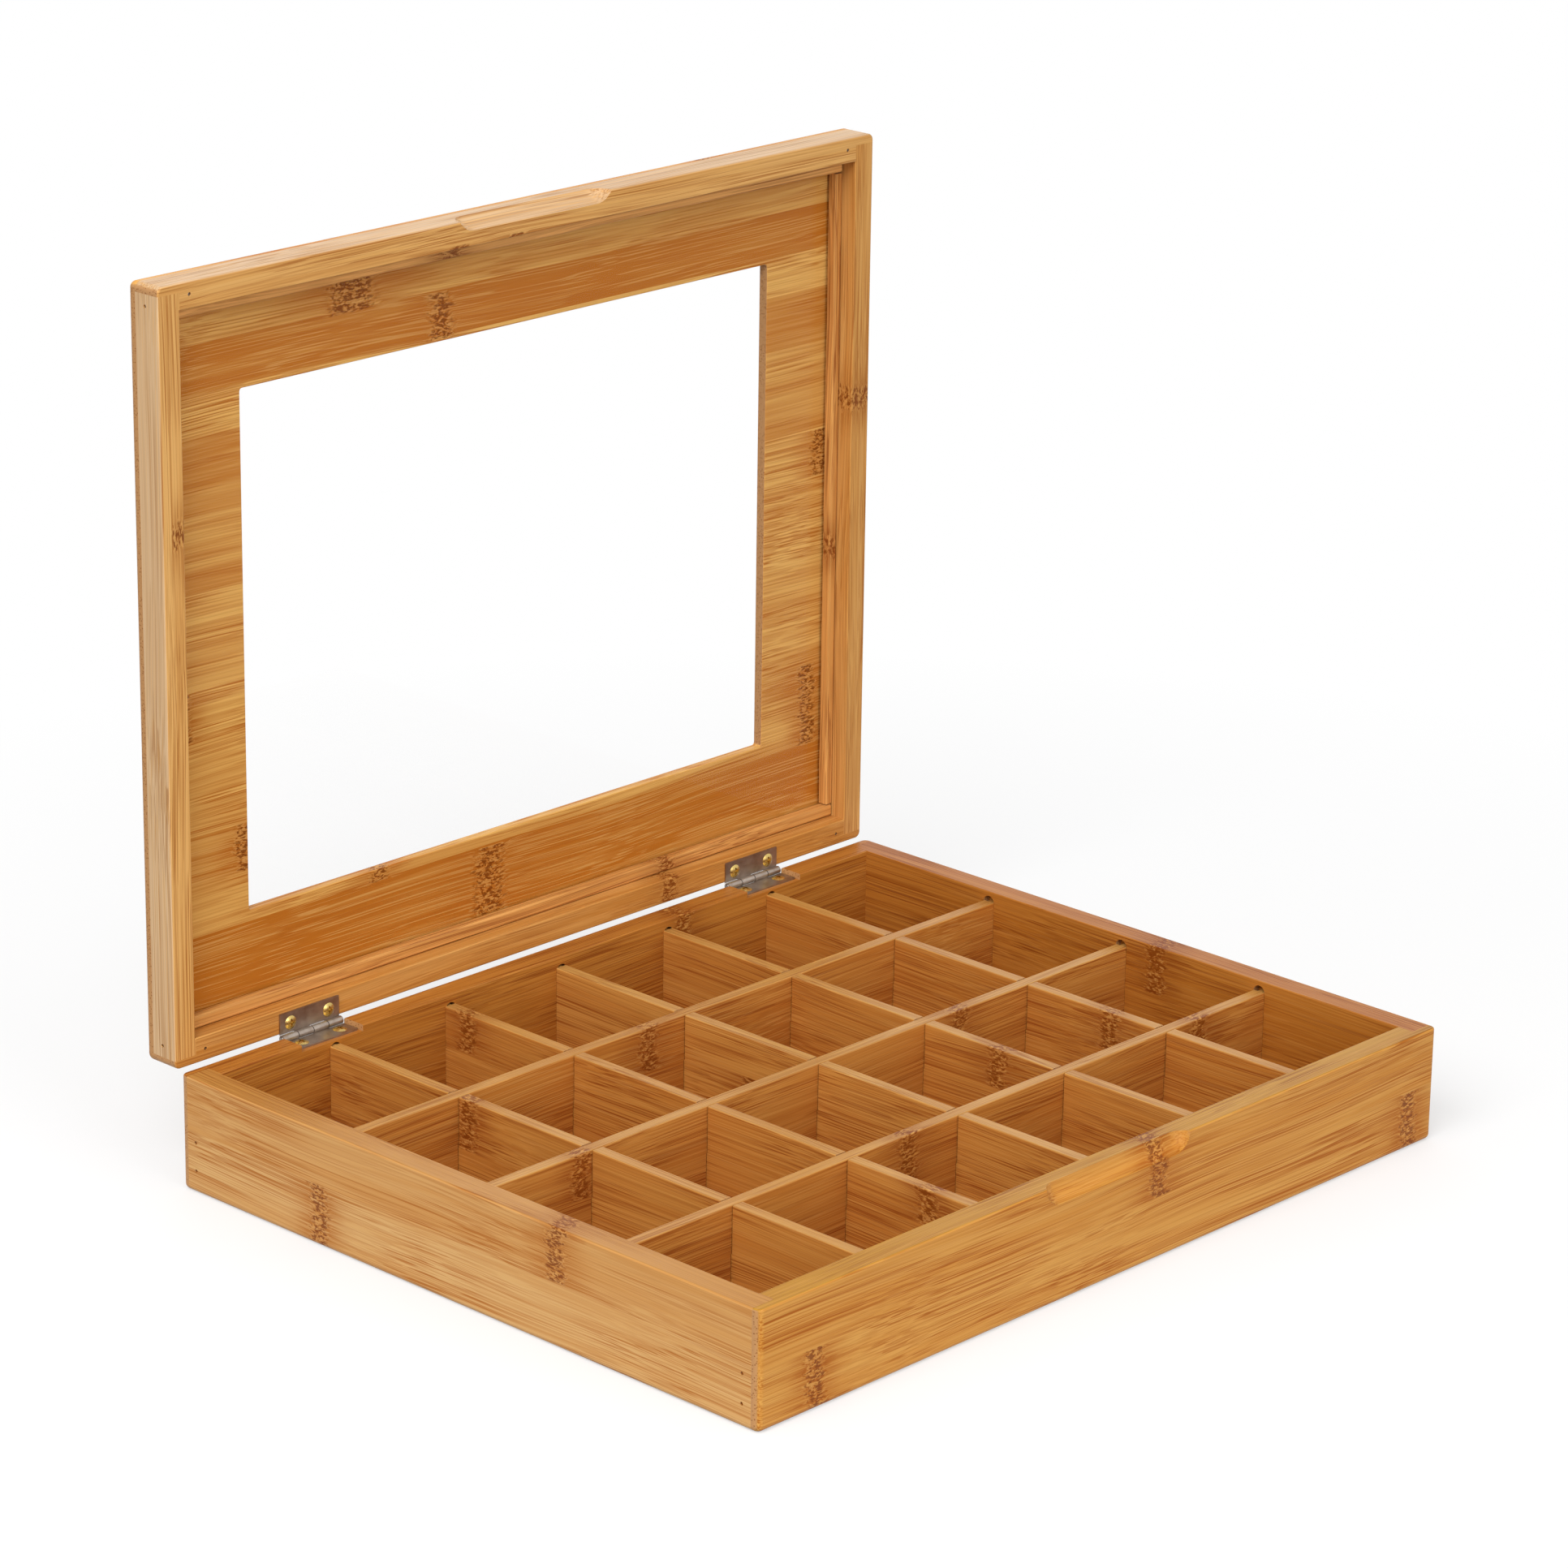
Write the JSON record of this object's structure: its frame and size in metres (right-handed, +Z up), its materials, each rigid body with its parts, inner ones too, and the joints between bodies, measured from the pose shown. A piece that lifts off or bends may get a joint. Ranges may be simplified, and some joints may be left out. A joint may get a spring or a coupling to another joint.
{
  "type": "coffee capsule organizer",
  "caption": "Shallow bamboo box with a grid of compartments for coffee capsules and a hinged, framed lid with a clear window.",
  "frame": {"origin": "centre of the box's underside, on the surface that it rests on", "axes": "+X to the right along the front, +Y from the front towards the hinges, +Z up; the lid is drawn open"},
  "size_m": [0.35, 0.2982, 0.3232],
  "materials": {
    "box_bamboo": "planed bamboo under a thin satin lacquer",
    "rail_bamboo": "planed bamboo under a thin satin lacquer",
    "panel_bamboo": "planed bamboo under a thin satin lacquer",
    "divider_bamboo": "planed bamboo under a thin satin lacquer",
    "bead_bamboo": "planed bamboo under a thin satin lacquer",
    "clear_acrylic": "clear, polished",
    "bronzed_steel": "antique nickel plate on pressed steel",
    "bright_steel": "plain drawn wire",
    "brass_screw": "bright, cold formed"
  },
  "bodies": {
    "box": {"front_wall": "box_bamboo", "rear_wall": "box_bamboo", "left_wall": "box_bamboo", "right_wall": "box_bamboo", "bottom_panel": "panel_bamboo", "long_divider_1": "divider_bamboo", "long_divider_2": "divider_bamboo", "long_divider_3": "divider_bamboo", "short_divider_1": "divider_bamboo", "short_divider_2": "divider_bamboo", "short_divider_3": "divider_bamboo", "short_divider_4": "divider_bamboo", "short_divider_5": "divider_bamboo", "base_corner_brads": "bright_steel", "hinge_base_leaf_left": "bronzed_steel", "hinge_base_leaf_right": "bronzed_steel", "hinge_pin_left": "bright_steel", "hinge_pin_right": "bright_steel", "base_hinge_screws": "brass_screw"},
    "lid": {"lid_front_rail": "rail_bamboo", "lid_rear_rail": "rail_bamboo", "lid_left_rail": "rail_bamboo", "lid_right_rail": "rail_bamboo", "lid_panel": "panel_bamboo", "window_pane": "clear_acrylic", "pane_bead_front": "bead_bamboo", "pane_bead_rear": "bead_bamboo", "pane_bead_left": "bead_bamboo", "pane_bead_right": "bead_bamboo", "lid_corner_brads": "bright_steel", "lid_panel_brads": "bright_steel", "pane_bead_brads": "bright_steel", "hinge_lid_leaf_left": "bronzed_steel", "hinge_lid_leaf_right": "bronzed_steel", "lid_hinge_screws": "brass_screw"}
  },
  "joints": [
    {"name": "lid_hinge", "type": "hinge", "parent": "box", "child": "lid", "pos_m": [0, 0.1412, 0.042], "axis": [1, 0, 0], "range_deg": [0, 90]}
  ]
}
